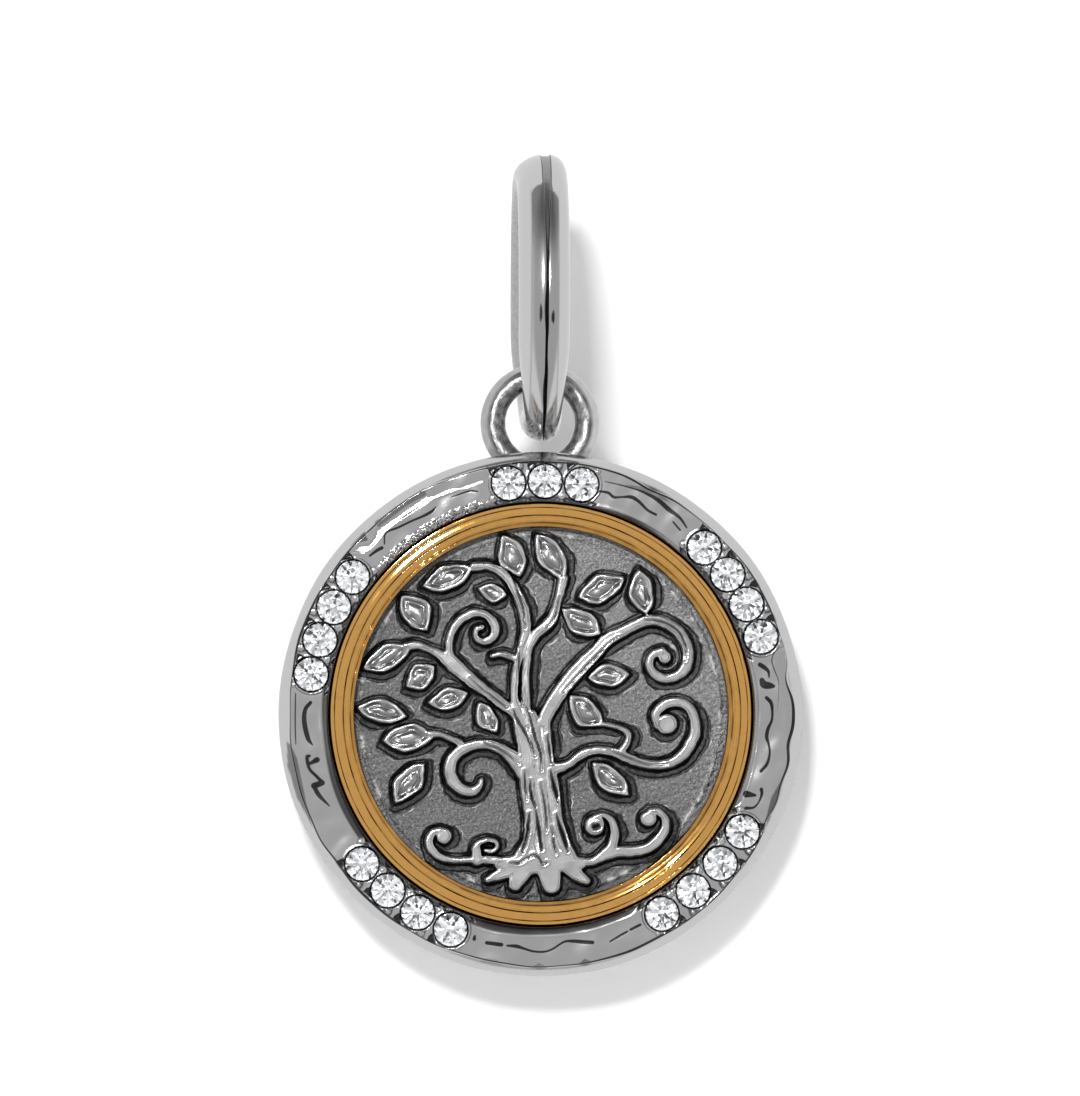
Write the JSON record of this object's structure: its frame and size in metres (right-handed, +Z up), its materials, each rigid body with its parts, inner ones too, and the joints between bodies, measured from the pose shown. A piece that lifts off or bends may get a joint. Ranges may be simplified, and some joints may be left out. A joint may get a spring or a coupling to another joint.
{
  "type": "tree of life pendant",
  "caption": "Round pendant with a hammered rim set with small clear stones, a gold-coloured inner ring and a raised tree of life, hung by a loop from an oval bail.",
  "frame": {"origin": "top of the bail's eye, where a chain or cord carries it", "axes": "+Z up, as it hangs; the decorated front faces -Y; +X on its right as seen from the front"},
  "size_m": [0.0222, 0.0096, 0.0348],
  "materials": {
    "silver": "polished silver-coloured metal, hand hammered on the rim",
    "gold": "polished gold-coloured metal",
    "antiqued_silver": "cast silver-coloured metal, darkened in its low places and rubbed bright on its crests",
    "crystal": "clear faceted stone with a foiled back"
  },
  "bodies": {
    "bail": {"bail": "silver"},
    "pendant": {"frame": "silver", "gold_ring": "gold", "medallion": "antiqued_silver", "stone_01": "crystal", "stone_02": "crystal", "stone_03": "crystal", "stone_04": "crystal", "stone_05": "crystal", "stone_06": "crystal", "stone_07": "crystal", "stone_08": "crystal", "stone_09": "crystal", "stone_10": "crystal", "stone_11": "crystal", "stone_12": "crystal", "stone_13": "crystal", "stone_14": "crystal", "stone_15": "crystal", "stone_16": "crystal", "stone_17": "crystal", "stone_18": "crystal", "stone_19": "crystal"}
  },
  "joints": [
    {"name": "pendant_swing", "type": "hinge", "parent": "bail", "child": "pendant", "pos_m": [0, 0, -0.0094], "axis": [0, 1, 0], "range_deg": [-75, 75]}
  ]
}
